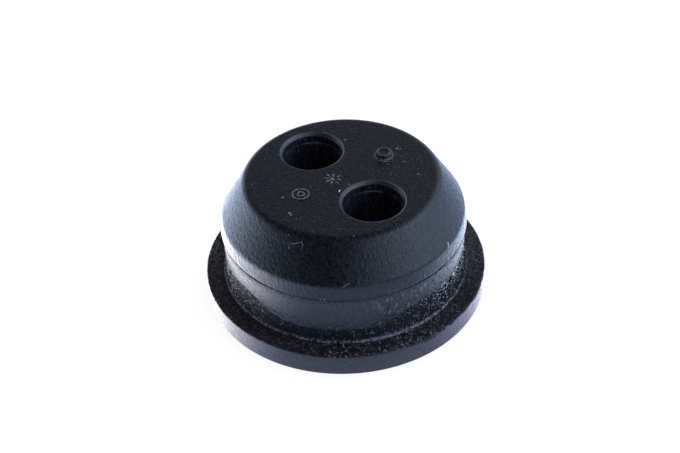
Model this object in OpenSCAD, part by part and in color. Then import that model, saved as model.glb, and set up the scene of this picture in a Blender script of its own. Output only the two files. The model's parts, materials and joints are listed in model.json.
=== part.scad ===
// Two-hole rubber grommet, moulded in one piece. It plugs a round hole in the
// wall of a tank or panel and passes two hoses. The tapered head is squeezed
// through the hole, the wall's edge then sits round the waist, and the flange
// stays outside as a stop. As modelled it rests on the flange, head up.
// The origin is at the centre of the flange's flat face, +Z runs up the axis
// of the plug, and the two hose bores stand side by side along X.

/* [Flange] */
// Diameter of the flange at its upper edge
flange_d = 24; // [23:0.1:30]
// Thickness of the flange
flange_t = 2.05; // [1.2:0.05:3]
// Mould draft: how far the lower edge stands inside the upper one
flange_draft = 0.05; // [0.02:0.01:0.2]
// Rounding of the flange's lower edge
flange_low_r = 0.15; // [0.05:0.05:0.5]
// Rounding of the flange's upper edge
flange_top_r = 0.15; // [0.05:0.05:0.3]

/* [Neck] */
// Diameter of the waist, a press fit in a hole 0.4 mm smaller
waist_d = 20.4; // [18:0.1:21]
// Length of the straight waist that the edge of the wall grips
waist_len = 1.4; // [0.6:0.1:6]
// How far the foot of the neck flares out past the waist
foot_flare = 0.25; // [0.2:0.05:0.8]
// Height over which the foot flares
foot_rise = 1.9; // [1:0.1:3]
// Small step at the edge of the foot, where the two mould halves met
foot_step = 0.12; // [0.05:0.01:0.3]
// Width of the ledge on that step, outside the flare
foot_ledge = 0.04; // [0.02:0.01:0.15]
// Height over which the neck swells again from the waist to the head
undercut_h = 1.13; // [0.6:0.01:2]

/* [Head] */
// How far the head stands out past the waist and holds the wall
head_lip = 0.16; // [0.12:0.02:0.8]
// Witness step of the mould at the head's widest ring
parting_step = 0.04; // [0.02:0.01:0.1]
// Height of the steep band above the widest ring
band_h = 1.3; // [0.8:0.05:2.5]
// Draft of the steep band
band_draft = 0.16; // [0.05:0.01:0.4]
// Rounding of the shoulder between the band and the cone
shoulder_r = 0.9; // [0.3:0.1:1.5]
// Height of the tapered lead-in cone
cone_h = 3.29; // [1.5:0.05:5]
// Diameter where the cone would meet the flat top without its rounding
top_d = 16.2; // [15.8:0.1:18]
// Rounding between the cone and the flat top
top_r = 0.7; // [0.3:0.1:1.5]

/* [Hose bores] */
// Distance between the centres of the two bores
bore_pitch = 8.6; // [7:0.1:9]
// Diameter of the long wall that grips the hose
bore_d = 4.7; // [3:0.1:5]
// How much wider the entry of the bore is than the gripping wall
entry_extra = 0.2; // [0.1:0.02:0.6]
// Depth of the entry, from the flat top to the sealing shoulder
entry_depth = 0.9; // [0.7:0.05:2.5]
// Width of the bevel round the bore's mouth
mouth_bevel = 0.2; // [0.1:0.02:0.4]
// Depth of the bevel round the bore's mouth
mouth_depth = 0.3; // [0.1:0.02:0.6]
// Bevel where the bore leaves the flange
exit_bevel = 0.3; // [0.1:0.05:0.6]

/* [Mould marks] */
// Diameter of the gate stub's foot, where the rubber ran in
gate_d = 1.45; // [1.2:0.05:2.2]
// Height of the gate stub
gate_h = 0.46; // [0.2:0.02:0.8]
// How far the gate stub's rim stands inside its foot
gate_draft = 0.1; // [0.04:0.02:0.2]
// Rounding of the gate stub's rim
gate_r = 0.12; // [0.04:0.02:0.16]
// Depth of the dish in the end of the gate stub
gate_dish = 0.12; // [0.02:0.02:0.14]
// Distance of the gate stub from the axis
gate_y = 4.35; // [3.8:0.05:5.5]
// Diameter of the two round mould stamps
stamp_d = 1.5; // [1:0.1:2]
// Height of the stamps' raised lines
stamp_h = 0.07; // [0.04:0.01:0.15]
// Width of the stamps' raised lines
stamp_line = 0.16; // [0.1:0.01:0.25]
// Diameter of the middle that the rings and strokes leave free
stamp_core_d = 0.7; // [0.5:0.05:0.9]
// Place of the stroke stamp, beside the axis
stroke_stamp_y = -0.9; // [-1.5:0.1:-0.5]
// Place of the ring stamp, near the edge of the flat top
ring_stamp_y = -4.1; // [-5:0.1:-3.6]

/* [Hidden] */
$fn = 96;

flange_radius = flange_d / 2;
waist_radius = waist_d / 2;
foot_radius = waist_radius + foot_flare;
head_radius = waist_radius + head_lip;
shoulder_radius = head_radius - band_draft;
top_radius = top_d / 2;
bore_radius = bore_d / 2;
entry_radius = bore_radius + entry_extra / 2;

// Heights of the section's stations, from the flange up
foot_z = flange_t + foot_step;
waist_low_z = foot_z + foot_rise;
waist_high_z = waist_low_z + waist_len;
parting_z = waist_high_z + undercut_h;
shoulder_z = parting_z + band_h;
top_z = shoulder_z + cone_h;
entry_z = top_z - entry_depth;

stroke_count = 8;
// How far a cutter runs past the face that it opens
overrun = 1;
// How far a raised mark or a web is rooted in the rubber that carries it
root = 0.3;
// How far a rounding stands proud of its sides, so that its arc crosses them
// cleanly where it would only touch them
proud = 0.0005;

function unit(v) = v / norm(v);

// What a rounding of radius r takes off corner b of the path a, b, c. The far
// corner lies outside the section, so that only the arc meets its sides.
module corner_waste(a, b, c, r) {
    u = unit(a - b);
    v = unit(c - b);
    half = acos(u * v) / 2;
    reach = r / tan(half);
    centre = b + unit(u + v) * (r / sin(half) - proud);
    difference() {
        polygon([b + u * reach, centre, b + v * reach, 2 * b - centre]);
        translate(centre)
            circle(r = r);
    }
}

// Web that spreads the waist out by flare between the heights wall_z and
// edge_z, in a hollow arc that leaves the waist's wall smoothly.
module flare_web(wall_z, edge_z, flare) {
    rise = abs(edge_z - wall_z);
    arc_r = (rise * rise + flare * flare) / (2 * flare);
    difference() {
        translate([waist_radius - root, min(wall_z, edge_z)])
            square([root + flare, rise]);
        translate([waist_radius + arc_r - proud, wall_z])
            circle(r = arc_r);
    }
}

module flange_section() {
    low = [flange_radius - flange_draft, 0];
    high = [flange_radius, flange_t];
    inner_low = [0, 0];
    inner_high = [0, flange_t];
    difference() {
        polygon([inner_low, low, high, inner_high]);
        corner_waste(inner_low, low, high, flange_low_r);
        corner_waste(low, high, inner_high, flange_top_r);
    }
}

module neck_section() {
    translate([0, flange_t - root])
        square([waist_radius, root + parting_z - flange_t]);
    translate([0, flange_t - root])
        square([foot_radius, root + foot_step]);
    flare_web(waist_low_z, foot_z, foot_flare - foot_ledge);
    flare_web(waist_high_z, parting_z, head_lip - parting_step);
}

module head_section() {
    parting = [head_radius, parting_z];
    shoulder = [shoulder_radius, shoulder_z];
    top = [top_radius, top_z];
    middle = [0, top_z];
    difference() {
        polygon([[0, parting_z], parting, shoulder, top, middle]);
        corner_waste(parting, shoulder, top, shoulder_r);
        corner_waste(shoulder, top, middle, top_r);
    }
}

module plug() {
    rotate_extrude() {
        flange_section();
        neck_section();
        head_section();
    }
}

// Stub of the runner: tapered, with a rounded rim and a shallow dish in its end.
module gate_stub() {
    foot = [gate_d / 2, 0];
    rim = [foot.x - gate_draft, gate_h];
    middle = [0, gate_h];
    dish_radius = rim.x - gate_r;
    dish_ball_r = (dish_radius * dish_radius + gate_dish * gate_dish) / (2 * gate_dish);
    rotate_extrude()
        difference() {
            polygon([[0, -root], [foot.x, -root], foot, rim, middle]);
            corner_waste(foot, rim, middle, gate_r);
            translate([0, rim.y - gate_dish + dish_ball_r])
                circle(r = dish_ball_r);
        }
}

module raised_ring(outer_r) {
    translate([0, 0, -root])
        difference() {
            cylinder(r = outer_r, h = root + stamp_h);
            translate([0, 0, -overrun])
                cylinder(r = outer_r - stamp_line, h = root + stamp_h + 2 * overrun);
        }
}

// Cavity mark of one ring in another.
module ring_stamp() {
    raised_ring(stamp_d / 2);
    raised_ring(stamp_core_d / 2);
}

// Cavity mark of short strokes round a dot.
module stroke_stamp() {
    for (i = [0:stroke_count - 1])
        rotate(i * 360 / stroke_count)
            translate([stamp_core_d / 2, -stamp_line / 2, -root])
                cube([(stamp_d - stamp_core_d) / 2, stamp_line, root + stamp_h]);
    translate([0, 0, -root])
        cylinder(r = stamp_line, h = root + stamp_h);
}

module mould_marks() {
    translate([0, gate_y, top_z])
        gate_stub();
    translate([0, stroke_stamp_y, top_z])
        stroke_stamp();
    translate([0, ring_stamp_y, top_z])
        ring_stamp();
}

// Cone that bevels an edge: radius r at height z, wider by spread on the way
// to the face, which it passes with the same slope.
module bevel_cutter(r, z, spread, rise) {
    past = overrun * spread / abs(rise);
    translate([0, 0, min(z, z + rise + sign(rise) * overrun)])
        cylinder(
            h = abs(rise) + overrun,
            r1 = rise > 0 ? r : r + spread + past,
            r2 = rise > 0 ? r + spread + past : r
        );
}

// All that one hose bore takes away: the gripping wall, the wider entry down
// to the sealing shoulder, and the bevels at the mouth and at the flange.
module bore_cutter() {
    translate([0, 0, -overrun])
        cylinder(r = bore_radius, h = top_z + 2 * overrun);
    translate([0, 0, entry_z])
        cylinder(r = entry_radius, h = entry_depth + overrun);
    bevel_cutter(entry_radius, top_z - mouth_depth, mouth_bevel, mouth_depth);
    bevel_cutter(bore_radius, exit_bevel, exit_bevel, -exit_bevel);
}

module grommet() {
    color("#1c1e22")
        difference() {
            union() {
                plug();
                mould_marks();
            }
            for (side = [-1, 1])
                translate([side * bore_pitch / 2, 0, 0])
                    bore_cutter();
        }
}

grommet();
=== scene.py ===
"""A two-hole rubber grommet: the moulded plug with its rubber finish, with wear in places
and painted highlights, glints and shade, the dust on it, and a plain white stage."""
import json
import math
from functools import partial

import bmesh
import bpy
from mathutils import Matrix, Vector


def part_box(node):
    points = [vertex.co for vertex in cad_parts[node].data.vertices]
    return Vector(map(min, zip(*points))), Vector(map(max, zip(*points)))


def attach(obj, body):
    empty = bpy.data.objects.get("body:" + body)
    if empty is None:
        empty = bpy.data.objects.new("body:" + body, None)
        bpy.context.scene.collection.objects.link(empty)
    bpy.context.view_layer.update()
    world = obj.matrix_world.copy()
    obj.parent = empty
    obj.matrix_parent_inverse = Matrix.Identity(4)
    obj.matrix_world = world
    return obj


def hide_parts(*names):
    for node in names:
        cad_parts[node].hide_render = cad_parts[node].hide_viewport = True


bl_info = {
    "name": "Rubber Grommet",
    "version": (1, 0, 0),
    "blender": (4, 5, 0),
    "location": "View3D > Sidebar > Grommet",
    "description": "Builds a moulded rubber grommet with two hose bores",
    "category": "Add Mesh",
}

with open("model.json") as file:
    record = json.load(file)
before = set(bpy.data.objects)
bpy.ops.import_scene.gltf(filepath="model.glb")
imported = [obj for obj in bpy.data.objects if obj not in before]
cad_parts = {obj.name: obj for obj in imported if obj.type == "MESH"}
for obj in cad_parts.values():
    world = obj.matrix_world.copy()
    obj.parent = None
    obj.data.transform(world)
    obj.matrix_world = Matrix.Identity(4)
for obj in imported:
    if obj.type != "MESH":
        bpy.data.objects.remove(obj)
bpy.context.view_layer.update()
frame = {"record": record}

MM = 0.001
MOUNTS = {mount["name"]: mount for mount in frame["record"]["mounts"]}
LOW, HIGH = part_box("grommet")

# Directions across the floor, seen from above
TO_CAMERA = (0.8275, -0.561)
TO_RIGHT = (0.561, 0.8275)
TO_SMOOTH_FRONT = (0.741, -0.671)
TO_SPILL = (0.9, 0.43)
TO_DUSTY_SIDE = (0.95, 0.3)
TO_DIM_FRONT_RIGHT = (0.95, 0.27)
TO_FAR_RIGHT = (0.3, 1.0)
TO_HIGHLIT_LIP = (-0.945, -0.325)

# Columns of faces round the smaller turned pieces
BORE_COLUMNS = 128
MARK_COLUMNS = 64
CORE_COLUMNS = 48
# Least angle between faces that meet in a sharp edge
SHARP_ANGLE = math.radians(38)
# How far a cutter runs past a face, and a mark is rooted below it
OVERRUN = 0.5 * MM
ROOT = 0.2 * MM
# Small roundings and bevels
STEP_FOOT_ROUND = 0.05 * MM
STEP_EDGE_ROUND = 0.02 * MM
MOUTH_ROUND = 0.06 * MM
SHOULDER_BEVEL = 0.03 * MM
RIM_ROUND = 0.06 * MM
# Width and height of the flash round the gate stub's foot
FLASH = (0.03 * MM, 0.05 * MM)


def number(default, description, kind=bpy.props.FloatProperty, subtype="UNSIGNED", **limits):
    """A value that the user may change. Its label is added by labelled."""
    return partial(kind, default=default, description=description, subtype=subtype, **limits)


def length(mm, description):
    return number(mm * MM, description, subtype="DISTANCE", unit="LENGTH", precision=5)


def angle(degrees, description):
    return number(math.radians(degrees), description, subtype="ANGLE", unit="ROTATION")


def colour(default, description):
    return number(default, description, bpy.props.FloatVectorProperty, "COLOR", min=0, max=1)


def labelled(group):
    """Gives each property of a group its own name as its label."""
    for key, make in group.__annotations__.items():
        group.__annotations__[key] = make(name=key.replace("_", " ").capitalize())
    return group


def mount_radius(name):
    return MOUNTS[name]["dims"]["r_mm"]


@labelled
class GrommetSizes(bpy.types.PropertyGroup):
    flange_radius: length((HIGH.x - LOW.x) / 2 / MM, "Radius of the flange at its upper edge")
    flange_height: length(2.05, "Thickness of the flange")
    flange_draft: length(0.05, "Mould draft of the flange's edge")
    flange_low_round: length(0.15, "Rounding of the flange's lower edge")
    flange_top_round: length(0.15, "Rounding of the flange's upper edge")
    foot_flare: length(0.25, "How far the neck's foot flares past the waist")
    foot_rise: length(1.9, "Height over which the foot flares")
    foot_step: length(0.12, "Step at the edge of the foot")
    foot_ledge: length(0.04, "Width of the ledge on that step")
    waist_radius: length(mount_radius("wall_waist"), "Radius of the straight waist")
    undercut: length(1.13, "Height over which the neck swells to the head")
    head_lip: length(0.16, "How far the head stands out past the waist")
    crease: length(0.055, "Width and depth of the parting line's crease")
    band_height: length(1.3, "Height of the steep band")
    band_draft: length(0.16, "Draft of the steep band")
    shoulder_round: length(0.9, "Rounding between the band and the cone")
    cone_height: length(3.29, "Height of the cone")
    top_radius: length(8.1, "Radius where the cone would meet the flat top")
    top_round: length(0.7, "Rounding between the cone and the flat top")
    bore_radius: length(mount_radius("hose_bore_plus_x"), "Radius of the wall that grips the hose")
    bore_offset: length(MOUNTS["hose_bore_plus_x"]["pos_m"][0] / MM, "Distance of a bore from the axis")
    entry_extra: length(0.1, "How much wider the bore's entry is")
    entry_depth: length(0.9, "Depth of the bore's entry")
    mouth_bevel: length(0.2, "Width of the bevel round the bore's mouth")
    mouth_depth: length(0.3, "Depth of the bevel round the bore's mouth")
    exit_bevel: length(0.3, "Bevel where the bore leaves the flange")
    gate_radius: length(0.725, "Radius of the gate stub's foot")
    gate_draft: length(0.1, "Mould draft of the gate stub")
    gate_height: length(0.46, "Height of the gate stub")
    gate_dish: length(0.12, "Depth of the dish in the gate stub")
    gate_offset: length(4.35, "Distance of the gate stub from the axis")
    stamp_radius: length(0.75, "Radius of the mould stamps")
    stamp_core: length(0.35, "Radius of the middle of a stamp")
    stamp_line: length(0.16, "Width of a stamp's lines")
    stamp_height: length(0.07, "Height of a stamp's lines")
    stroke_stamp_offset: length(0.9, "Distance of the stroke stamp from the axis")
    ring_stamp_offset: length(4.1, "Distance of the ring stamp from the axis")
    rough_rise: length(1.3, "Height of the rough cast zone")
    rough_climb: length(1.2, "How much higher it reaches at the sides")
    rough_depth: length(0.05, "Depth of the rough cast surface")
    mark_wear: length(0.2, "How far wear shifts the stamps' lines")
    columns: number(540, "Columns of faces round the plug", bpy.props.IntProperty, min=48)
    seed: number(7, "Seed of the rough cast surface", bpy.props.IntProperty)


@labelled
class RubberLook(bpy.types.PropertyGroup):
    colour: colour((0.007, 0.0079, 0.0101), "Colour of the smooth rubber")
    cast_colour: colour((0.0105, 0.0088, 0.0118), "Colour of the rough cast rubber")
    roughness: number(0.2, "Roughness of the smooth rubber", subtype="FACTOR", min=0, max=1)


# Crumbs that show singly in the photograph: their places and half width in mm
CRUMBS = {
    "by_ring_stamp": (-0.5, -5.5, 11.2, 0.09),
    "near_left_edge": (-3.5, -6.5, 11.2, 0.04),
    "behind_front_bore": (1.4, -0.3, 11.2, 0.065),
    "right_of_back_bore": (-3.8, 3.1, 11.2, 0.06),
    "right_of_gate": (-0.25, 6.05, 11.2, 0.08),
    "right_of_gate_middle": (-0.05, 5.75, 11.2, 0.1),
    "right_of_gate_near": (0.15, 5.95, 11.2, 0.09),
    "before_gate": (0.8, 3.9, 11.2, 0.085),
    "before_gate_small": (1.15, 3.9, 11.2, 0.07),
    "far_right": (3.8, 5.0, 11.2, 0.06),
    "farther_right": (2.7, 6.2, 11.2, 0.06),
    "front_edge": (6.9, -3.8, 11.1, 0.05),
    "front_of_top": (5.5, -4.3, 11.2, 0.06),
    "left_of_front": (1.45, -6.2, 11.2, 0.09),
    "left_of_front_low": (1.75, -6.25, 11.2, 0.08),
    "front_left": (2.4, -6.2, 11.2, 0.065),
    "front_left_right": (2.7, -6.0, 11.2, 0.06),
    "left_end_of_curl": (3.9, -7.98, 10.1, 0.055),
    "on_parting_line": (7.42, -7.21, 6.7, 0.12),
    "beside_parting_line": (7.2, -7.43, 6.7, 0.06),
    "on_flange_edge": (9.2, -7.7, 2.0, 0.07),
    "on_flange_side": (7.3, -9.5, 0.4, 0.05),
}


# Fibres, by the pieces that they make: the places in mm that each of them runs through
FIBRES = {
    "white_fibre": {
        "upright": ((9.33, 3.74, 8.2), (9.38, 3.68, 8.05), (9.5, 3.6, 7.85)),
        "lying": ((1.72, -1.52, 11.2), (1.56, -1.3, 11.2)),
    },
    "grey_fibres": {
        "curl": (
            (3.95, -7.98, 10.1), (3.72, -7.9, 10.2), (3.78, -7.7, 10.4), (3.98, -7.66, 10.4),
            (4.17, -7.46, 10.5), (4.5, -7.14, 10.7), (4.72, -7.18, 10.5), (4.77, -7.38, 10.2),
        ),
        "wisp": ((8.25, -5.9, 7.9), (8.35, -5.68, 8.1), (8.47, -5.37, 8.2)),
    },
}

# Lint by its piece: its material's name, and its linear colours where it is pale and dark
LINT = {
    "fine_dust": ("grey_dust", (0.34, 0.35, 0.38, 1), (0.1, 0.1, 0.12, 1)),
    "crumbs": ("pale_crumb", (0.4, 0.41, 0.43, 1), (0.1, 0.1, 0.12, 1)),
    "white_fibre": ("white_fibre", (0.85, 0.86, 0.88, 1), (0.6, 0.6, 0.63, 1)),
    "grey_fibres": ("grey_fibre", (0.22, 0.23, 0.25, 1), (0.07, 0.07, 0.08, 1)),
}
# Linear colours of the rubber where it isn't black, some of them painted highlights, glints and sparkle
PALE_WEAR_AND_HIGHLIGHT = (0.15, 0.155, 0.175, 1)
PALE_SCUFF_AND_GLINT = (0.13, 0.15, 0.18, 1)
LIT_LEDGE = (0.1, 0.1, 0.11, 1)
GRIT_AND_SPARKLE = (0.15, 0.15, 0.17, 1)
HIGHLIGHT_LINE = (0.3, 0.3, 0.32, 1)
# Linear tints of the floor in gloss, near and far, and of the room's light
BRIGHT_FLOOR = (0.94, 0.96, 1.09, 1)
BRIGHT_FLOOR_FAR = (0.82, 0.97, 1.25, 1)
DIM_FLOOR = (0.8, 0.88, 1.32, 1)
DIM_FLOOR_FAR = (0.73, 0.92, 1.38, 1)
WINDOW_LIGHT = (0.76, 0.94, 1.3, 1)
BACK_LIGHT = (0.84, 0.98, 1.12, 1)

# The floor lies just below the flange's face, so that the two don't coincide
FLOOR_LEVEL = -0.002 * MM
# The lamp's place, right of, away from and above the part, and what it is turned to
LAMP_PLACE = (0, 50 * MM, 350 * MM)
LAMP_TARGET = (0, 0, 5 * MM)


@labelled
class DustLook(bpy.types.PropertyGroup):
    amount: number(4e6, "Crumbs of dust per square metre", min=0)
    smallest: length(0.012, "Half width of the smallest crumb of dust")
    largest: length(0.04, "Half width of the largest crumb of dust")
    fibre_radius: length(0.045, "Radius of the white fibre")
    curl_radius: length(0.028, "Radius of the grey curled fibres")
    seed: number(11, "Seed of the fine dust", bpy.props.IntProperty)


@labelled
class StageLook(bpy.types.PropertyGroup):
    floor_colour: colour((0.9, 0.9, 0.9), "Colour of the floor")
    floor_side: length(1600, "Length of the floor's side")
    camera_azimuth: angle(55.85, "Direction from which the camera looks")
    camera_elevation: angle(41.5, "Height of the camera above the horizon")
    camera_distance: length(125.76, "Distance of the camera from the flange's middle")
    camera_pitch: angle(39.49, "How far the camera looks down")
    camera_yaw: angle(-0.2, "How far the camera looks to the right of the part")
    camera_roll: angle(-2.7, "How far the camera is turned about its own axis")
    camera_lens: number(76.2, "Focal length", subtype="DISTANCE_CAMERA", unit="CAMERA")
    lamp_side: length(350, "Length of the lamp's side")
    lamp_brightness: number(1.9, "Brightness of the lamp, where 1 is white", min=0)


class Wire:
    """A socket's value, on which ordinary maths adds Math nodes to its tree."""

    def __init__(self, tree, socket):
        self.tree = tree
        self.socket = socket

    def maths(self, operation, *values):
        return self.tree.add("ShaderNodeMath", dict(enumerate(values)), operation=operation)

    def through(self, function):
        """A function of the value alone, such as its cosine."""
        return self.maths(function, self)

    def most(self, other):
        return self.maths("MAXIMUM", self, other)

    def least(self, other):
        return self.maths("MINIMUM", self, other)

    def step(self, low, high):
        """0 below low and 1 above high, with a smooth rise between them."""
        values = {0: self, 1: low, 2: high}
        return self.tree.add("ShaderNodeMapRange", values, interpolation_type="SMOOTHSTEP")

    def fall(self, low, high):
        """1 below low and 0 above high."""
        return 1 - self.step(low, high)


def arithmetic(operation):
    """The methods for an operation with a wire on its left, and on its right."""
    return (
        lambda wire, other: wire.maths(operation, wire, other),
        lambda wire, other: wire.maths(operation, other, wire),
    )


for symbol, operation in {
    "add": "ADD", "sub": "SUBTRACT", "mul": "MULTIPLY", "truediv": "DIVIDE", "pow": "POWER"
}.items():
    forward, backward = arithmetic(operation)
    setattr(Wire, f"__{symbol}__", forward)
    setattr(Wire, f"__r{symbol}__", backward)


class Tree:
    """A node tree to which nodes are added by one call each."""

    def __init__(self, nodes_of):
        self.nodes_of = nodes_of

    def add(self, kind, values=None, out=0, **settings):
        """Adds a node, sets its settings and then its sockets, and gives its output."""
        node = self.nodes_of.nodes.new(kind)
        for name, value in settings.items():
            setattr(node, name, value)
        for key, value in (values or {}).items():
            self.join(value, node.inputs[key])
        if node.outputs:
            return Wire(self, node.outputs[out])

    def join(self, value, socket):
        if isinstance(value, Wire):
            self.nodes_of.links.new(value.socket, socket)
        elif isinstance(value, list):
            for each in value:
                self.nodes_of.links.new(each.socket, socket)
        else:
            socket.default_value = value

    def other(self, wire, out):
        """Another output of the node that wire comes from."""
        return Wire(self, wire.socket.node.outputs[out])

    def parts(self, vector):
        x = self.add("ShaderNodeSeparateXYZ", {0: vector})
        return x, self.other(x, 1), self.other(x, 2)

    def vector(self, x, y, z):
        return self.add("ShaderNodeCombineXYZ", {0: x, 1: y, 2: z})

    def noise(self, vector, scale, detail=2.0, roughness=0.5):
        """Noise round 0.5, in the units of vector."""
        values = {"Vector": vector, "Scale": scale, "Detail": detail, "Roughness": roughness}
        return self.add("ShaderNodeTexNoise", values)

    def cells(self, vector, scale):
        """Two lots in 0 to 1 for each cell of a pattern, and the vector that they come from."""
        drawn = self.add("ShaderNodeTexVoronoi", {"Vector": vector, "Scale": scale}, out="Color")
        return *self.parts(drawn)[:2], drawn

    def scaled(self, vector, factor):
        return self.add("ShaderNodeVectorMath", {0: vector, "Scale": factor}, operation="SCALE")

    def plus(self, vector, shift):
        return self.add("ShaderNodeVectorMath", {0: vector, 1: shift}, operation="ADD")

    def places(self):
        """The place on the piece, in metres and in mm."""
        place = self.add("ShaderNodeTexCoord", out="Object")
        return place, self.scaled(place, 1 / MM)

    def distance(self, x, y):
        return (x * x + y * y) ** 0.5

    def moved(self, geometry, **values):
        """A geometry whose points have a new Position or an Offset."""
        return self.add("GeometryNodeSetPosition", {"Geometry": geometry, **values})

    def blend(self, factor, one, other):
        return self.add("ShaderNodeMixShader", {0: factor, 1: one, 2: other})

    def emission(self, colour):
        return self.add("ShaderNodeEmission", {"Color": colour})

    def rough(self, height, distance, strength):
        """Normals of a surface that is bumped by height."""
        return self.add("ShaderNodeBump", {"Strength": strength, "Distance": distance, "Height": height})

    def principled(self, **values):
        named = {key.replace("_", " "): value for key, value in values.items()}
        return self.add("ShaderNodeBsdfPrincipled", named)

    def mix(self, factor, a, b):
        """A colour between a and b."""
        return self.add("ShaderNodeMix", {0: factor, 6: a, 7: b}, out=2, data_type="RGBA")


def along(direction, x, y):
    """How far a place lies along a direction."""
    return x * direction[0] + y * direction[1]


def geometry_tree(name, inputs):
    """A geometry node tree that is given Geometry, Material and the named inputs, and its end.

    The end makes real what the tree has made and gives it the material."""
    group = bpy.data.node_groups.new(name, "GeometryNodeTree")
    group.interface.new_socket(name="Geometry", in_out="OUTPUT", socket_type="NodeSocketGeometry")
    for title, kind in {"Geometry": "Geometry", "Material": "Material", **inputs}.items():
        group.interface.new_socket(name=title, in_out="INPUT", socket_type="NodeSocket" + kind)
    tree = Tree(group)
    start = group.nodes.new("NodeGroupInput")
    given = {socket.name: Wire(tree, socket) for socket in start.outputs if socket.name}

    def end(geometry):
        real = tree.add("GeometryNodeRealizeInstances", {0: geometry})
        ready = tree.add("GeometryNodeSetMaterial", {"Geometry": real, "Material": given["Material"]})
        tree.add("NodeGroupOutput", {0: ready})
        return group

    return tree, given, end


def apply_tree(piece, group, **values):
    """Runs a geometry tree on a piece and keeps its result as a plain mesh."""
    modifier = piece.modifiers.new(group.name, "NODES")
    modifier.node_group = group
    for item in group.interface.items_tree:
        key = item.name.lower()
        if item.in_out == "INPUT" and key in values:
            modifier[item.identifier] = values[key]
    view = bpy.context.evaluated_depsgraph_get()
    mesh = bpy.data.meshes.new_from_object(piece.evaluated_get(view), depsgraph=view)
    piece.modifiers.remove(modifier)
    piece.data = mesh
    mesh.name = piece.name
    return piece


def shading(owner):
    """The node tree of a material or world, emptied."""
    owner.use_nodes = True
    owner.node_tree.nodes.clear()
    return Tree(owner.node_tree)


def new_piece(name, mesh):
    piece = bpy.data.objects.new(name, mesh)
    bpy.context.scene.collection.objects.link(piece)
    return piece


def at(x, y):
    return Vector((x, y))


def flat_top(s):
    """Height of the flat top, from which the gate stub stands up to the full height."""
    return HIGH.z - s.gate_height


def stretch(a, b, steps):
    """Points from a up to, but without, b."""
    return [a.lerp(b, i / steps) for i in range(steps)]


def rounded(before, corner, after, radius, steps=8):
    """Points of the arc that rounds a corner of a section."""
    u = (before - corner).normalized()
    v = (after - corner).normalized()
    half = u.angle(v) / 2
    centre = corner + (u + v).normalized() * radius / math.sin(half)
    first = corner + u * radius / math.tan(half) - centre
    last = corner + v * radius / math.tan(half) - centre
    turn = first.angle_signed(last)
    return [centre + Matrix.Rotation(-turn * i / steps, 2) @ first for i in range(steps + 1)]


def flare(wall, edge, steps):
    """Points of the hollow arc that leaves a straight wall without a crease and ends at edge."""
    rise = edge.y - wall.y
    out = edge.x - wall.x
    radius = (rise * rise + out * out) / (2 * out)
    sweep = math.asin(abs(rise) / radius)
    side = math.copysign(1, rise)
    turns = [sweep * i / steps for i in range(steps + 1)]
    return [wall + radius * at(1 - math.cos(turn), side * math.sin(turn)) for turn in turns]


def plug_section(s):
    """Half section of the plug, from the middle of the flat face out, up and in to the flat top."""
    foot = s.waist_radius + s.foot_flare
    head = s.waist_radius + s.head_lip
    foot_z = s.flange_height + s.foot_step
    waist_low = at(s.waist_radius, foot_z + s.foot_rise)
    top_z = flat_top(s)
    shoulder_z = top_z - s.cone_height
    parting_z = shoulder_z - s.band_height
    waist_high = at(s.waist_radius, parting_z - s.undercut)

    middle = at(0, 0)
    low = at(s.flange_radius - s.flange_draft, 0)
    high = at(s.flange_radius, s.flange_height)
    face_end = at(foot, s.flange_height)
    foot_edge = at(foot, foot_z)
    parting = at(head, parting_z)
    shoulder = at(head - s.band_draft, shoulder_z)
    top_edge = at(s.top_radius, top_z)
    top_middle = at(0, top_z)

    low_arc = rounded(middle, low, high, s.flange_low_round)
    high_arc = rounded(low, high, at(0, high.y), s.flange_top_round, 4)
    ledge_end = foot_edge - at(s.foot_ledge, 0)
    band_arc = rounded(parting, shoulder, top_edge, s.shoulder_round, 10)
    top_arc = rounded(shoulder, top_edge, top_middle, s.top_round, 12)
    return [
        *stretch(middle, low, 4),
        *low_arc,
        *stretch(low_arc[-1], high_arc[0], 10)[1:],
        *high_arc,
        *stretch(high_arc[-1], face_end, 12)[1:],
        *rounded(high, face_end, foot_edge, STEP_FOOT_ROUND, 2),
        *rounded(face_end, foot_edge, ledge_end, STEP_EDGE_ROUND, 2),
        *flare(waist_low, ledge_end, 16)[::-1],
        *stretch(waist_low, waist_high, 8)[1:],
        *flare(waist_high, parting - at(s.crease * 0.4, s.crease * 0.7), 8),
        parting - at(s.crease * 1.3, s.crease * 0.1),
        parting + at(-s.crease * 0.2, s.crease * 0.2),
        *stretch(parting + at(0, s.crease * 0.4), band_arc[0], 7),
        *band_arc,
        *stretch(band_arc[-1], top_arc[0], 14)[1:],
        *top_arc,
        *stretch(top_arc[-1], top_middle, 24)[1:],
        top_middle,
    ]


def bore_section(s):
    """Half section of all that one bore takes away, closed at both ends past the faces."""
    top_z = flat_top(s)
    entry = s.bore_radius + s.entry_extra
    entry_z = top_z - s.entry_depth
    bevel_low = at(entry, top_z - s.mouth_depth)
    lip = at(entry + s.mouth_bevel, top_z)
    inner = rounded(at(entry, entry_z), bevel_low, lip, MOUTH_ROUND, 4)
    outer = rounded(bevel_low, lip, at(lip.x + 1, top_z), MOUTH_ROUND, 4)[:4]
    slope = (outer[-1] - outer[-2]).normalized()
    exit_end = at(s.bore_radius, s.exit_bevel)
    return [
        at(0, -OVERRUN),
        at(exit_end.x + s.exit_bevel + OVERRUN, -OVERRUN),
        *stretch(exit_end, at(s.bore_radius, entry_z), 10),
        at(s.bore_radius, entry_z - SHOULDER_BEVEL),
        at(s.bore_radius + SHOULDER_BEVEL, entry_z),
        *stretch(at(entry, entry_z), inner[0], 4),
        *inner,
        *outer,
        outer[-1] + slope * OVERRUN,
        at(0, outer[-1].y + OVERRUN),
    ]


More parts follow.
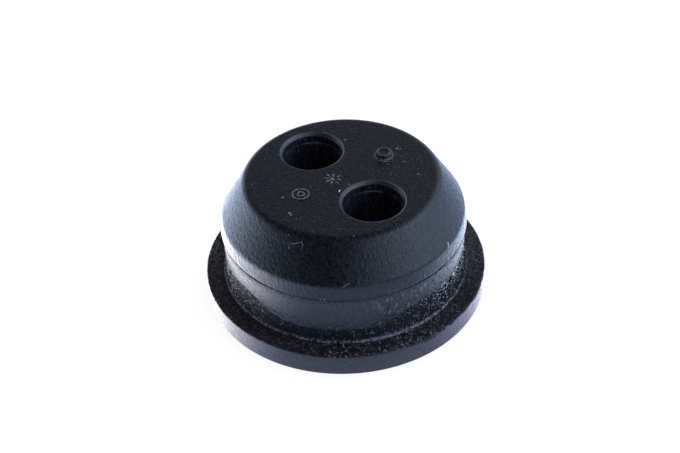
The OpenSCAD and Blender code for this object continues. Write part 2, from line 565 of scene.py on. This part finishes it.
def gate_section(s):
    """Half section of the gate stub: a tapered wall, a rounded rim and a dished end."""
    foot = at(s.gate_radius, 0)
    flash = at(*FLASH)
    rim = at(foot.x - s.gate_draft, s.gate_height)
    dish = at(rim.x * 0.68, s.gate_height - s.gate_dish * 0.7)
    return [
        at(0, -ROOT),
        at(foot.x + flash.x, -ROOT),
        foot + flash,
        foot + at(-0.01 * MM, flash.y * 1.4),
        *rounded(foot, rim, dish, RIM_ROUND, 6),
        dish,
        at(rim.x * 0.35, s.gate_height - s.gate_dish),
        at(0, dish.y - 0.04 * MM),
    ]


def ring_section(s, radius):
    """Half section of a raised ring with a soft crown, whose outer edge is at radius."""
    half = s.stamp_line / 2
    turns = [math.pi * i / 8 for i in range(9)]
    crown = [at(radius - half + half * math.cos(turn), s.stamp_height * math.sin(turn)) for turn in turns]
    return [at(crown[0].x, -ROOT), *crown, at(crown[-1].x, -ROOT)]


def chain_mesh(name, *chains):
    """A mesh of chains of points, the points of each joined by edges."""
    points, edges = [], []
    for chain in chains:
        edges += [(len(points) + i, len(points) + i + 1) for i in range(len(chain) - 1)]
        points += chain
    mesh = bpy.data.meshes.new(name)
    mesh.from_pydata(points, edges, [])
    return mesh


def revolve_tree():
    """A tree that turns a section, a chain of points in the XZ plane, once round Z."""
    inputs = {"Columns": "Int", "Rows": "Int", "Centre": "Vector"}
    tree, given, end = geometry_tree("Revolve a section", inputs)
    columns, rows = given["Columns"], given["Rows"]
    grid = tree.add("GeometryNodeMeshGrid", {"Vertices X": columns + 1, "Vertices Y": rows})
    index = tree.add("GeometryNodeInputIndex")
    column = ((index + 0.5) / rows).through("FLOOR")
    row = index - column * rows
    place = tree.add("GeometryNodeInputPosition")
    sampled = tree.add(
        "GeometryNodeSampleIndex", {"Geometry": given["Geometry"], "Value": place, "Index": row + 0.25},
        data_type="FLOAT_VECTOR"
    )
    x, y, z = tree.parts(sampled)
    turn = column / columns * math.tau
    around = tree.vector(x * turn.through("COSINE"), x * turn.through("SINE"), z)
    turned = tree.moved(grid, Position=tree.plus(around, given["Centre"]))
    return end(tree.add("GeometryNodeMergeByDistance", {"Geometry": turned, "Distance": 0.0005 * MM}))


def wear_tree():
    """A tree that shifts the surface of a mark here and there, so that its lines turn out uneven."""
    tree, given, end = geometry_tree("Wear a mark", {"Wear": "Float", "Grain": "Float"})
    place = tree.add("GeometryNodeInputPosition")
    shift = tree.other(tree.noise(place, 1 / given["Grain"]), "Color")
    offset = tree.scaled(tree.plus(shift, (-0.5, -0.5, -0.5)), given["Wear"])
    return end(tree.moved(given["Geometry"], Offset=offset))


def cast_tree():
    """A tree that roughens the plug's cast zone, and keeps where it runs and where the foot's step edge takes
    a painted highlight.
    """
    names = ("Foot", "Step", "Edge", "Low", "High", "Climb", "Depth", "Seed")
    tree, given, end = geometry_tree("Roughen the cast zone", dict.fromkeys(names, "Float"))
    foot, step, edge, low, high, climb, depth, seed = (given[name] for name in names)
    place = tree.add("GeometryNodeInputPosition")
    x, y, z = tree.parts(place)
    shifted = tree.plus(place, tree.vector(seed, 0.0, 0.0))
    radius = tree.distance(x, y)
    above = (z - low) / step
    # The foot's step edge, where a highlight line is painted
    on_edge = above.step(0.0, 0.4) * above.fall(1.5, 2.6)
    on_edge = on_edge * radius.step(foot - 0.12 * MM, foot - 0.06 * MM)
    ragged = (tree.noise(shifted, 1.6 / MM, 3.0, 0.6) - 0.5) * (0.5 * MM)
    fore = along(TO_SMOOTH_FRONT, x, y).through("ABSOLUTE")
    beside = fore.fall(7.2 * MM, 9.9 * MM)
    reached = high + climb * beside
    upper = (z + ragged).fall(reached - 0.12 * MM, reached + 0.12 * MM)
    torn = (tree.noise(shifted, 1.1 / MM, 4.0, 0.7) - 0.42) * (0.5 * MM)
    spill = (tree.noise(shifted, 0.9 / MM, 4.0, 0.6) - 0.4).most(0.0) * (1.8 * MM)
    spill = spill * along(TO_SPILL, x, y).step(9.0 * MM, 11.2 * MM)
    lower = (z + torn.least(0.0) + spill).step(low - 0.14 * MM, low - 0.04 * MM)
    bitten = radius + (tree.noise(shifted, 1.4 / MM, 3.0, 0.65) - 0.5) * (1.3 * MM)
    kept = (bitten - spill * 2.0).fall(edge - 0.02 * MM, edge + 0.08 * MM)
    zone = upper * lower * kept
    grain = tree.noise(shifted, 5.5 / MM, 3.0, 0.65) - 0.5
    lumps = tree.noise(shifted, 2.0 / MM) - 0.5
    lift = (grain * 1.6 + lumps * 0.8) * depth * zone
    offset = tree.scaled(tree.add("GeometryNodeInputNormal"), lift)
    rough = tree.moved(given["Geometry"], Offset=offset)
    for name, value in (("cast", zone), ("rubbed", on_edge)):
        rough = tree.add("GeometryNodeStoreNamedAttribute", {"Geometry": rough, "Name": name, "Value": value})
    return end(rough)


class GROMMET_OT_body(bpy.types.Operator):
    """Build the moulded plug with its bores, gate stub and stamps"""

    bl_idname = "grommet.body"
    bl_label = "Moulded Body"

    def execute(self, context):
        s = context.scene.grommet_sizes
        rubber = rubber_material(context.scene.rubber_look, s)
        revolve = revolve_tree()
        top_z = flat_top(s)

        def turned(name, points, columns, centre=(0, 0, 0)):
            piece = new_piece(name, chain_mesh(name, [(point.x, 0, point.y) for point in points]))
            apply_tree(piece, revolve, material=rubber, columns=columns, rows=len(points), centre=centre)
            close_outward(piece.data)
            return piece

        body = turned("grommet_body", plug_section(s), s.columns)
        apply_tree(
            body, cast_tree(), material=rubber, foot=s.waist_radius + s.foot_flare, step=s.foot_step,
            edge=s.flange_radius, low=s.flange_height, high=s.flange_height + s.rough_rise,
            climb=s.rough_climb, depth=s.rough_depth, seed=float(s.seed)
        )
        cutters = [
            turned(name, bore_section(s), BORE_COLUMNS, (side * s.bore_offset, 0, 0))
            for name, side in (("bore_minus_x", -1), ("bore_plus_x", 1))
        ]
        ring_centre = (0, -s.ring_stamp_offset, top_z)
        stamps = [
            stroke_stamp(s, rubber, top_z),
            turned("outer_ring", ring_section(s, s.stamp_radius), MARK_COLUMNS, ring_centre),
            turned("inner_ring", ring_section(s, s.stamp_core), CORE_COLUMNS, ring_centre),
        ]
        stub = turned("gate_stub", gate_section(s), MARK_COLUMNS, (0, s.gate_offset, top_z))
        wear = wear_tree()
        for piece, share in ((stub, 0.3), *((stamp, 1.3) for stamp in stamps)):
            apply_tree(piece, wear, material=rubber, wear=s.mark_wear * share, grain=s.stamp_line * 2)
        carve(body, rubber, cutters, [stub, *stamps])
        body.data.shade_smooth()
        body.data.set_sharp_from_angle(angle=SHARP_ANGLE)
        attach(body, "root")
        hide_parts("grommet")
        return {"FINISHED"}


def stroke_stamp(s, rubber, top_z):
    """A circle of soft raised strokes round a dot, as one mesh."""
    lengths = dict.fromkeys(("Reach", "Length", "Width", "Height"), "Float")
    tree, given, end = geometry_tree("Strokes in a circle", {"Strokes": "Int", **lengths})
    spots = tree.add("GeometryNodeMeshCircle", {"Vertices": given["Strokes"], "Radius": given["Reach"]})
    bead = tree.add("GeometryNodeMeshUVSphere", {"Segments": 16, "Rings": 10})
    place = tree.add("GeometryNodeInputPosition")
    x, y, z = tree.parts(place)
    turn = tree.vector(0.0, 0.0, y.maths("ARCTAN2", y, x))
    stroke = tree.vector(given["Length"] / 2, given["Width"] / 2, given["Height"])
    round_dot = tree.vector(given["Width"], given["Width"], given["Height"])
    copies = {"Points": spots, "Instance": bead, "Rotation": turn, "Scale": stroke}
    ring = tree.add("GeometryNodeInstanceOnPoints", copies)
    dot = tree.add("GeometryNodeTransform", {0: bead, "Scale": round_dot})
    piece = new_piece("stroke_stamp", chain_mesh("stroke_stamp"))
    apply_tree(
        piece, end(tree.add("GeometryNodeJoinGeometry", {0: [ring, dot]})), material=rubber,
        strokes=8, reach=(s.stamp_radius + s.stamp_core) / 2, length=(s.stamp_radius - s.stamp_core) * 1.2,
        width=s.stamp_line * 1.3, height=s.stamp_height * 1.1
    )
    piece.data.transform(Matrix.Translation((0, -s.stroke_stamp_offset, top_z)))
    return piece


def crumbs_at(tree, spots, width, seed):
    """An uneven crumb at each spot, turned at random, whose half width is width."""
    ball = tree.add("GeometryNodeMeshIcoSphere", {"Subdivisions": 2})
    place = tree.add("GeometryNodeInputPosition")
    lump = tree.scaled(place, (tree.noise(tree.plus(place, (seed, 0.0, 0.0)), 1.3) - 0.5) * 1.3)
    turn = tree.add("FunctionNodeRandomValue", {0: (0, 0, 0), 1: (6.3, 6.3, 6.3)}, data_type="FLOAT_VECTOR")
    return tree.add("GeometryNodeInstanceOnPoints", {
        "Points": spots, "Instance": tree.moved(ball, Offset=lump), "Rotation": turn, "Scale": width
    })


def on_surface(tree, given):
    """The place on the given surface that lies nearest to each point."""
    surface = tree.add("GeometryNodeObjectInfo", {0: given["Surface"]}, out="Geometry")
    return tree.add("GeometryNodeProximity", {0: surface})


def scatter_tree():
    """A tree that scatters crumbs over a surface, most of them where dust gathered."""
    lengths = dict.fromkeys(("Amount", "Smallest", "Largest", "Top"), "Float")
    tree, given, end = geometry_tree("Scatter dust", {"Seed": "Int", **lengths})
    place = tree.add("GeometryNodeInputPosition")
    x, y, z = tree.parts(place)
    on_top = z.step(given["Top"] - 0.02 * MM, given["Top"] - 0.01 * MM)
    patch = (1 - tree.distance(x - 1.5 * MM, y - 4.6 * MM).step(0.6 * MM, 2.0 * MM)) * on_top
    neck = z.step(2.2 * MM, 3.2 * MM) * z.fall(4.0 * MM, 5.5 * MM)
    side = along(TO_DUSTY_SIDE, x, y).step(7.5 * MM, 10.0 * MM)
    gathered = tree.noise(place, 0.8 / MM).step(0.4, 0.65)
    bare = z.step(0.2 * MM, 0.3 * MM)
    density = (patch * 2.4 + neck * side * 1.2 * gathered + 0.07) * bare * given["Amount"]
    amount = {"Mesh": given["Geometry"], "Density": density, "Seed": given["Seed"]}
    spots = tree.add("GeometryNodeDistributePointsOnFaces", amount)
    limits = {2: given["Smallest"], 3: given["Largest"], "Seed": given["Seed"]}
    width = tree.add("FunctionNodeRandomValue", limits, out=1)
    return end(crumbs_at(tree, spots, width, 3.0))


def crumbs_tree():
    """A tree that sets a crumb of each point's own width on the surface."""
    tree, given, end = geometry_tree("Set crumbs", {"Surface": "Object"})
    settled = tree.moved(given["Geometry"], Position=on_surface(tree, given))
    width = tree.add("GeometryNodeInputNamedAttribute", {"Name": "width"})
    return end(crumbs_at(tree, settled, width, 8.0))


def fibre_tree():
    """A tree that lays thin fibres along chains of points, down on the surface."""
    tree, given, end = geometry_tree("Lay fibres", {"Surface": "Object", "Radius": "Float"})
    lines = tree.add("GeometryNodeMeshToCurve", {0: given["Geometry"]})
    even = tree.add("GeometryNodeResampleCurve", {"Curve": lines, "Count": 24})
    laid = tree.moved(even, Position=on_surface(tree, given))
    ring = tree.add("GeometryNodeCurvePrimitiveCircle", {"Resolution": 8, "Radius": given["Radius"]})
    return end(tree.add("GeometryNodeCurveToMesh", {"Curve": laid, "Profile Curve": ring, "Fill Caps": True}))


class GROMMET_OT_dust(bpy.types.Operator):
    """Lay the crumbs, the fine dust and the fibres on the body"""

    bl_idname = "grommet.dust"
    bl_label = "Dust"

    def execute(self, context):
        body = bpy.data.objects.get("grommet_body")
        if body is None:
            raise RuntimeError("build the moulded body before the dust")
        look = context.scene.dust_look
        lay(
            "fine_dust", body.data.copy(), scatter_tree(), top=flat_top(context.scene.grommet_sizes),
            amount=look.amount, smallest=look.smallest, largest=look.largest, seed=look.seed
        )
        mesh = bpy.data.meshes.new("crumbs")
        mesh.from_pydata([Vector(crumb[:3]) * MM for crumb in CRUMBS.values()], [], [])
        widths = mesh.attributes.new("width", "FLOAT", "POINT")
        for spot, crumb in zip(widths.data, CRUMBS.values()):
            spot.value = crumb[3] * MM
        lay("crumbs", mesh, crumbs_tree(), surface=body)
        for name, radius in (("white_fibre", look.fibre_radius), ("grey_fibres", look.curl_radius)):
            chains = ([Vector(place) * MM for place in chain] for chain in FIBRES[name].values())
            lay(name, chain_mesh(name, *chains), fibre_tree(), surface=body, radius=radius)
        return {"FINISHED"}


def lay(name, mesh, group, **values):
    """Makes a piece of lint that a geometry tree lays on the body, with which it moves."""
    piece = apply_tree(new_piece(name, mesh), group, material=lint_material(name), **values)
    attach(piece, "root")


def close_outward(mesh):
    """Closes the open edges of a turned piece, such as a ring's root, and turns its normals outwards."""
    work = bmesh.new()
    work.from_mesh(mesh)
    open_edges = [edge for edge in work.edges if edge.is_boundary]
    if open_edges:
        bmesh.ops.bridge_loops(work, edges=open_edges)
    bmesh.ops.recalc_face_normals(work, faces=work.faces)
    work.to_mesh(mesh)
    work.free()


def carve(body, rubber, cutters, marks):
    """Cuts the bores out of the plug and joins the marks to it."""
    pieces = {piece.name: piece for piece in cutters + marks}
    tree, given, end = geometry_tree("Carve", dict.fromkeys(pieces, "Object"))
    solids = [tree.add("GeometryNodeObjectInfo", {0: given[name]}, out="Geometry") for name in pieces]
    cut = tree.add(
        "GeometryNodeMeshBoolean", {0: given["Geometry"], 1: solids[:len(cutters)]},
        operation="DIFFERENCE", solver="MANIFOLD"
    )
    whole = tree.add(
        "GeometryNodeMeshBoolean", {1: [cut, *solids[len(cutters):]]}, operation="UNION", solver="MANIFOLD"
    )
    apply_tree(body, end(whole), material=rubber, **pieces)
    for piece in pieces.values():
        bpy.data.objects.remove(piece)


def from_bores(tree, x, y, s):
    """How far a place lies from the axis of the nearer bore, and how far from it along X."""
    side = x - x.through("SIGN") * s.bore_offset
    return tree.distance(side, y), side


def wear_and_highlights(tree, place, s):
    """How pale the rubber is painted, partly for wear and partly as painted highlights: on the stamps, the
    gate stub's rim and foot, and the bores' mouths.
    """
    x, y, z = tree.parts(place)
    above = z - flat_top(s)
    from_gate = tree.distance(x, y - s.gate_offset)
    beside_gate = from_gate.step(s.gate_radius, s.gate_radius + 0.2 * MM)
    stamps = above.step(0.01 * MM, 0.04 * MM) * beside_gate
    inner = s.gate_radius - s.gate_draft - 0.2 * MM
    gate_rim = from_gate.step(inner, inner + 0.1 * MM) * above.step(s.gate_height * 0.75, s.gate_height)
    gate_foot = above.fall(0.06 * MM, 0.18 * MM) * from_gate.step(inner, s.gate_radius)
    gate_foot = gate_foot * (1 - beside_gate)
    patchy = tree.noise(place, 7.0 / MM).step(0.26, 0.54)
    marks = stamps.most(gate_rim * 0.7).most(gate_foot * 0.9) * patchy
    wall = s.bore_radius + s.entry_extra
    lip = wall + s.mouth_bevel
    distance, side = from_bores(tree, x, y, s)
    mouth = distance.step(wall, wall + 0.06 * MM) * distance.fall(lip + 0.02 * MM, lip + 0.07 * MM)
    # Painted highlight: the upper left of each mouth's bevel is painted lighter, over a little wear all round
    rubbed = (along(TO_HIGHLIT_LIP, side, y) / distance).step(0.1, 0.9)
    edge = distance.step(lip - 0.03 * MM, lip + 0.02 * MM)
    edge = edge * distance.fall(lip + 0.07 * MM, lip + 0.13 * MM)
    # Painted highlight on each mouth's outer edge, stronger towards the right
    at_right = (along(TO_RIGHT, side, y) / distance).step(0.3, 0.95)
    return marks.most(mouth * (rubbed * 0.4 + 0.06)).most(edge * (at_right * 0.6 + 0.18))


def inside_bores(tree, place, s):
    """1 in the bores below the bevels of their mouths."""
    x, y, z = tree.parts(place)
    low = flat_top(s) - s.mouth_depth
    wall = s.bore_radius + s.entry_extra
    distance = from_bores(tree, x, y, s)[0]
    return distance.fall(wall + 0.01 * MM, wall + 0.05 * MM) * z.fall(low - 0.1 * MM, low)


def ledge_glow(tree, place, s):
    """1 on the sealing shoulders, where light from the mouth reaches them behind the bore's axis."""
    x, y, z = tree.parts(place)
    low = flat_top(s) - s.entry_depth
    distance, side = from_bores(tree, x, y, s)
    behind = (-1 * along(TO_CAMERA, side, y) / distance).step(0.9, 0.99)
    return z.step(low - 0.1 * MM, low - 0.04 * MM) * z.fall(low, low + 0.03 * MM) * behind


def tinted(colour, share):
    return (*(part * share for part in colour), 1)


def rubber_material(look, s):
    """Black rubber: satin where the mould was polished, glinting and pale-speckled where it was cast rough,
    and painted with highlights, sheen and shade in its crease.
    """
    material = bpy.data.materials.new("black_rubber")
    tree = shading(material)
    place, mm = tree.places()
    x, y, z = tree.parts(mm)
    cast = tree.add("ShaderNodeAttribute", out="Fac", attribute_name="cast")
    rubbed = tree.add("ShaderNodeAttribute", out="Fac", attribute_name="rubbed")
    fine = tree.noise(mm, 12.0, 2.0, 0.6)
    grain = tree.noise(mm, 4.0, 3.0, 0.55)
    patches = tree.noise(mm, 0.6, 3.0)
    mottle = tree.noise(mm, 3.2, 4.0, 0.75)
    tall = tree.vector(x, y, z * 0.4)
    leather = tree.noise(tall, 4.5, 3.0, 0.7)

    # Smooth rubber: mottled, pale at its edges from wear and painted highlights, and with pale strokes at the
    # right of the neck, partly scuffs and partly painted glints
    wear_and_highlight = wear_and_highlights(tree, place, s)
    right_neck = x.step(8.9, 10.0) * z.step(2.6, 3.8) * z.fall(5.6, 7.4)
    scratches = tree.cells(tall, 6.0)
    # Pale strokes at the right of the neck: partly scuffs, partly painted glints
    scuffs_and_glints = scratches[0].step(0.78, 0.93) * right_neck * patches.step(0.3, 0.5)
    strokes = scratches[1].step(0.78, 0.92) * right_neck * 0.5
    colour = tree.mix(mottle.step(0.36, 0.66), tinted(look.colour, 0.15), tinted(look.colour, 1.9))
    colour = tree.mix(scuffs_and_glints, tree.mix(wear_and_highlight, colour, PALE_WEAR_AND_HIGHLIGHT), PALE_SCUFF_AND_GLINT)
    shine = look.roughness + (grain - 0.5) * 0.14 + (patches - 0.5) * 0.1 + wear_and_highlight * 0.25
    on_cone = z.step(7.8, 8.4) * z.fall(10.6, 11.0)
    wrinkles = leather * (3.2 + right_neck * 4.0 + on_cone * (x.step(6.8, 8.6) * 1.2 + 0.8))
    skin = tree.rough(fine * 0.6 + grain * 2.0 + wrinkles, 0.02 * MM, 0.7)
    satin = tree.principled(Base_Color=colour, Roughness=shine, Normal=skin)

    # The bores' walls reflect little, and their sealing shoulders catch some light
    depths = tree.mix(leather.step(0.4, 0.7), tinted(look.colour, 0.9), tinted(look.colour, 6.5))
    depths = tree.mix(ledge_glow(tree, place, s) * 0.7, depths, LIT_LEDGE)
    hollow = tree.principled(Base_Color=depths, Roughness=0.5, Specular_IOR_Level=0.15, Normal=skin)
    dull = ((grain * 0.5 + leather * 0.5).step(0.42, 0.62) * 0.25).most(strokes)
    smooth_rubber = tree.blend((inside_bores(tree, place, s) * 0.95).most(dull), satin, hollow)

    # Painted shade in the crease at the parting line: near black, and faint at the front
    parting_z = (flat_top(s) - s.cone_height - s.band_height - s.crease * 0.4) / MM
    from_line = (z - parting_z).through("ABSOLUTE")
    front = along(TO_CAMERA, x, y).step(7.6, 9.6)
    crease = from_line.fall(0.08, 0.12) * (1 - front * 0.75) * (grain.step(0.35, 0.6) * 0.25 + 0.75)
    crease_shade = tree.principled(Base_Color=tinted(look.colour, 0.3), Roughness=0.9, Specular_IOR_Level=0.0)
    smooth_rubber = tree.blend(crease, smooth_rubber, crease_shade)

    # Cast rubber is matt, with pale grit that is partly painted sparkle, painted sheen towards its sides, and
    # a painted highlight line at the foot's step
    luck, other_luck, cells = tree.cells(mm, 8.8)
    neck = z.step(s.flange_height / MM + 0.1, s.flange_height / MM + 0.4)
    gathered = tree.noise(mm, 2.0, 3.0).step(0.36, 0.6)
    left = -1 * y
    far_side = along(TO_FAR_RIGHT, x, y).step(2.0, 7.0)
    # Pale grit specks, partly painted sparkle, thinned on the neck and towards the left and far right sides
    grit_and_sparkle = luck.step(0.7, 0.92) * gathered * (1 - neck * 0.85)
    grit_and_sparkle = grit_and_sparkle * (1 - left.step(8.0, 10.5) * 0.75) * (1 - far_side * 0.5)
    at_left = left.step(6.5, 9.5)
    # Painted highlight along the foot's step edge: broken, brighter at the left and fainter at the right
    broken = tree.noise(mm, 4.5, 3.0, 0.7) + y.step(-9.0, -3.0) * 0.12
    light_line = rubbed * (broken + at_left * 0.09 - y.step(0.0, 6.0) * 0.1).step(0.48, 0.66)
    # Painted sheen: the flange top's base colour is lighter towards its left and right sides
    sheen_sides = y.through("ABSOLUTE").step(6.0, 11.0) * (1 - neck)
    plain = tree.mix(sheen_sides, tinted(look.cast_colour, 0.5), tinted(look.cast_colour, 1.3))
    cast_tone = tree.mix(light_line * 0.9, tree.mix(grit_and_sparkle, plain, GRIT_AND_SPARKLE), HIGHLIGHT_LINE)
    uneven = tree.rough(grain + fine, 0.06 * MM, 0.9)
    matte = tree.principled(Base_Color=cast_tone, Roughness=0.7, Specular_IOR_Level=0.25, Normal=uneven)

    # Some of its grains are facets that glint, most of all on the neck's right side. How many glint is set by
    # side, a painted spread that follows where the light falls: fewer facing the camera and on the flange
    # top's right front
    tilt = tree.scaled(tree.plus(cells, (-0.5, -0.5, -0.5)), 0.9 - y.step(1.0, 6.5) * 0.35)
    leaning = tree.plus(tree.add("ShaderNodeNewGeometry", out="Normal"), tilt)
    facet = tree.add("ShaderNodeVectorMath", {0: leaning}, operation="NORMALIZE")
    glint = tree.principled(Base_Color=tinted(look.cast_colour, 0.4), Roughness=0.12, IOR=1.9, Normal=facet)
    at_right = y.step(-2.5, 5.0)
    turned_away = (-1 * along(TO_CAMERA, x, y)).step(1.0, 5.0)
    clear = at_right.most((-1 * x).step(-0.5, 3.5)) * (1 - turned_away * 0.75)
    picked = (other_luck + at_right * 0.2 + (clear - 1) * 0.32).step(0.3, 0.55)
    on_neck = picked * neck * (clear * 0.5 + 0.5) * (1 - at_left * 0.3)
    # Fewer glinting grains on the flange top's right front, which keeps it dark there
    dim_front_right = along(TO_DIM_FRONT_RIGHT, x, y).step(9.0, 11.0)
    share = other_luck.step(0.5, 0.75) * 0.6 * (1 - neck) * (1 - dim_front_right * 0.8) + on_neck
    cast_rubber = tree.blend(share * (1 - light_line), matte, glint)

    both = tree.blend(cast.step(0.3, 0.7), smooth_rubber, cast_rubber)
    tree.add("ShaderNodeOutputMaterial", {"Surface": both})
    return material


def lint_material(piece_name):
    """Dry lint or crumbs, pale or dark as their places fall."""
    name, pale, dark = LINT[piece_name]
    material = bpy.data.materials.new(name)
    tree = shading(material)
    mm = tree.places()[1]
    colour = tree.mix(tree.noise(mm, 3.0).step(0.35, 0.65), dark, pale)
    fluff = tree.rough(tree.noise(mm, 40.0), 0.01 * MM, 0.5)
    lint = tree.principled(Base_Color=colour, Roughness=0.9, Normal=fluff)
    tree.add("ShaderNodeOutputMaterial", {"Surface": lint})
    return material


def floor_material(look):
    """White floor that keeps the shadow, and shows in gloss as the windows round it lit it."""
    material = bpy.data.materials.new("white_floor")
    tree = shading(material)
    right, away, up = camera_parts(tree, look, tree.places()[1])
    reach = tree.distance(right, away)
    back = away / reach
    front = back.fall(-0.97, -0.3)
    side = (right / reach).step(-0.25, 0.25)
    distance = reach.step(16, 42)
    past_edge = reach.step(12.6, 13.6)
    at_left = (back.step(-0.96, -0.05) * 5.2 - back.step(0.1, 0.9) * 1.6) * (1 - distance * 0.6)
    at_left = at_left * (1 - (1 - past_edge) * back.step(-0.7, -0.2) * 0.48)
    beside_neck = reach.step(12.7, 13.5) * reach.fall(14.8, 17.5)
    at_right = back.step(-0.87, 0.1) * 1.4 * (1 - distance * 0.82) * (1 + beside_neck * 1.3)
    at_right = at_right * (1 - back.step(0.2, 0.65) * 0.52)
    near = 1 + 0.27 * reach.fall(12.5, 16)
    behind = back.step(0.45, 0.75) * reach.step(18, 28)
    belt = side * reach.step(22, 40) * back.fall(0.0, 0.5) * (1 - front) * 0.45
    far = 1 - reach.step(20, 70) * front * 0.6 - reach.step(60, 200) * 0.2 - behind * 0.34 - belt
    brightness = (0.92 + at_left * (1 - side) + at_right * side) * near * far
    bright = tree.mix(reach.step(19, 28).most(side * past_edge), BRIGHT_FLOOR, BRIGHT_FLOOR_FAR)
    dim = tree.mix(reach.step(12.5, 15), DIM_FLOOR, DIM_FLOOR_FAR)
    tint = tree.mix(brightness.step(1.2, 3.6), dim, bright)
    # Painted shadow: under the part's footprint the floor shows near black in gloss
    shadow_under_part = reach.fall(11.6, 12)
    brightness = brightness * (1 - shadow_under_part) + shadow_under_part * 0.05
    mirrored = tree.emission(tree.scaled(tint, brightness))

    # The camera sees it near white, with a faint shadow, and from beneath it is clear
    matte, faint = (
        tree.add("ShaderNodeBsdfDiffuse", {"Color": tinted(look.floor_colour, share)})
        for share in (1, 0.2)
    )
    shown = tree.add("ShaderNodeAddShader", {0: faint, 1: tree.emission((0.9, 0.9, 0.9, 1))})
    seen = tree.add("ShaderNodeLightPath", out="Is Camera Ray")
    gloss = tree.other(seen, "Is Glossy Ray").most(tree.other(seen, "Is Transmission Ray"))
    above = tree.blend(seen, tree.blend(gloss, matte, mirrored), shown)
    beneath = tree.add("ShaderNodeNewGeometry", out="Backfacing")
    clear = tree.add("ShaderNodeBsdfTransparent")
    tree.add("ShaderNodeOutputMaterial", {"Surface": tree.blend(beneath, above, clear)})
    return material


def camera_parts(tree, look, vector):
    """How far a vector runs right of, away from and above the camera's level line of sight."""
    x, y, z = tree.parts(vector)
    cosine, sine = math.cos(look.camera_azimuth), math.sin(look.camera_azimuth)
    return along((cosine, sine), x, y), along((-sine, cosine), x, y), z


def beside_camera(look, right, away, up):
    """A place given by how far it lies right of, away from and above the part, as the camera sees it."""
    return Matrix.Rotation(look.camera_azimuth, 3, "Z") @ Vector((right, away, up))


class GROMMET_OT_stage(bpy.types.Operator):
    """Set up the floor, the world, the lamps and the camera"""

    bl_idname = "grommet.stage"
    bl_label = "Stage"

    def execute(self, context):
        scene, look = context.scene, context.scene.stage_look
        half = look.floor_side / 2
        corners = [(x * half, y * half, FLOOR_LEVEL) for x, y in ((-1, -1), (1, -1), (1, 1), (-1, 1))]
        mesh = bpy.data.meshes.new("floor")
        mesh.from_pydata(corners, [], [range(4)])
        mesh.materials.append(floor_material(look))
        new_piece("floor", mesh)
        self.light_world(scene, look)
        self.hang_lamp(look)
        self.place_camera(scene, look)
        scene.view_settings.view_transform = "Standard"
        return {"FINISHED"}

    def light_world(self, scene, look):
        scene.world = bpy.data.worlds.new("pale_room")
        tree = shading(scene.world)
        right, away, up = camera_parts(tree, look, tree.add("ShaderNodeTexCoord", out="Generated"))
        left = -1 * right
        beside = up.fall(0.55, 0.95) * (1 - away.step(0.0, 0.3) * up.fall(0.2, 0.4) * 0.6)
        window = right.most(0.0) ** 1.5 * 2.35 * beside
        from_left = left.step(0.45, 1.03) * (away.step(-0.5, 0.6) * 0.6 + 0.4) * 0.92 * up.fall(0.13, 0.85)
        behind_left = away.step(0.0, 0.6) * left.step(0.1, 0.7) * 1.05 * up.fall(0.1, 0.5)
        above = away.step(0.71, 0.83) * 0.25 + up.step(0.55, 0.95) * 0.03 + 0.02
        tint = tree.mix(away.step(0.5, 0.7), WINDOW_LIGHT, BACK_LIGHT)
        light = tree.scaled(tint, window + from_left + behind_left + above)
        room, white = (
            tree.add("ShaderNodeBackground", {"Color": colour}) for colour in (light, (1, 1, 1, 1))
        )
        seen = tree.add("ShaderNodeLightPath", out="Is Camera Ray")
        tree.add("ShaderNodeOutputWorld", {"Surface": tree.blend(seen, room, white)})

    def hang_lamp(self, look):
        """A soft square lamp above the part, turned to the camera's side, that gloss doesn't show."""
        lamp = bpy.data.lights.new("soft_top", "AREA")
        lamp.size = look.lamp_side
        lamp.energy = look.lamp_brightness * math.pi * look.lamp_side ** 2
        holder = new_piece("soft_top", lamp)
        place = beside_camera(look, *LAMP_PLACE)
        facing = (Vector(LAMP_TARGET) - place).normalized()
        side = facing.cross(beside_camera(look, 0, 1, 0)).normalized()
        turn = Matrix((side, side.cross(facing), -facing)).transposed()
        holder.matrix_world = Matrix.Translation(place) @ turn.to_4x4()
        holder.visible_camera = False
        holder.visible_glossy = False

    def place_camera(self, scene, look):
        def looking(yaw, pitch):
            level = math.cos(pitch)
            return beside_camera(look, math.sin(yaw) * level, math.cos(yaw) * level, -math.sin(pitch))

        camera = bpy.data.cameras.new("camera")
        camera.lens = look.camera_lens
        camera.clip_start = MM
        scene.camera = new_piece("camera", camera)
        place = looking(0, look.camera_elevation) * -look.camera_distance
        forward = looking(look.camera_yaw, look.camera_pitch)
        right = forward.cross(Vector((0, 0, 1))).normalized()
        turn = Matrix((right, right.cross(forward), -forward)).transposed()
        turn = turn @ Matrix.Rotation(look.camera_roll, 3, "Z")
        scene.camera.matrix_world = Matrix.Translation(place) @ turn.to_4x4()


class GROMMET_PT_panel(bpy.types.Panel):
    bl_idname = "GROMMET_PT_panel"
    bl_label = "Rubber Grommet"
    bl_space_type = "VIEW_3D"
    bl_region_type = "UI"
    bl_category = "Grommet"

    def draw(self, context):
        for operator in OPERATORS:
            self.layout.operator(operator.bl_idname)
        for group in GROUPS:
            settings = getattr(context.scene, group)
            box = self.layout.box()
            for name in settings.__annotations__:
                box.prop(settings, name)


OPERATORS = (GROMMET_OT_body, GROMMET_OT_dust, GROMMET_OT_stage)
GROUPS = {
    "grommet_sizes": GrommetSizes,
    "rubber_look": RubberLook,
    "dust_look": DustLook,
    "stage_look": StageLook,
}
CLASSES = (*GROUPS.values(), *OPERATORS, GROMMET_PT_panel)


def register():
    for each in CLASSES:
        bpy.utils.register_class(each)
    for name, group in GROUPS.items():
        setattr(bpy.types.Scene, name, bpy.props.PointerProperty(type=group))


def unregister():
    for name in GROUPS:
        delattr(bpy.types.Scene, name)
    for each in reversed(CLASSES):
        bpy.utils.unregister_class(each)


def main():
    register()
    bpy.ops.grommet.stage()
    bpy.ops.grommet.body()
    bpy.ops.grommet.dust()


if __name__ == "__main__":
    main()
